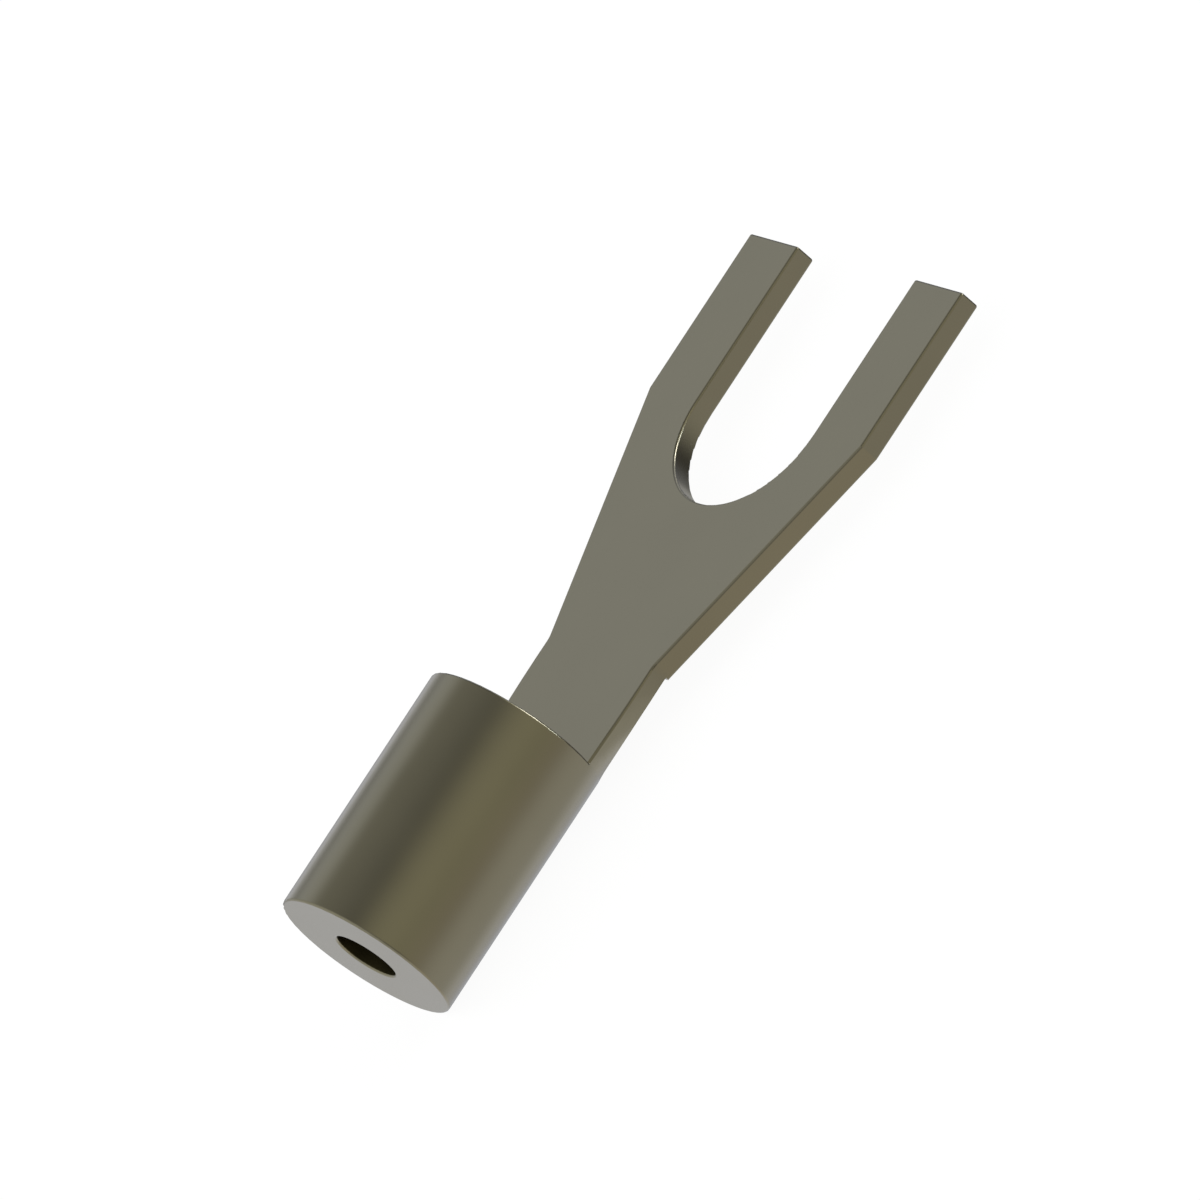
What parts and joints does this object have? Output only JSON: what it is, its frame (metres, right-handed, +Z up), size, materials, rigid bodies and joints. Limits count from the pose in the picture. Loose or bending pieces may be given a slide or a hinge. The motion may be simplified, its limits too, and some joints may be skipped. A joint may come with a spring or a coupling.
{
  "type": "fork crimp terminal",
  "caption": "Bare fork crimp terminal: a thick-walled barrel with a through bore for the wire, a neck that flattens below it, and a flat forked tongue that slips around a screw stud.",
  "frame": {"origin": "centre of the barrel's open wire mouth, on the bore's axis", "axes": "+X along the barrel from the wire mouth to the tips of the fork, +Y across the fork, +Z up from the fork's flat upper face"},
  "size_m": [0.0176, 0.0078, 0.004],
  "materials": {
    "tinned_metal": "warm grey satin tin plating on copper, clean, without a grain"
  },
  "bodies": {
    "root": {"fork_terminal": "tinned_metal"}
  },
  "joints": []
}
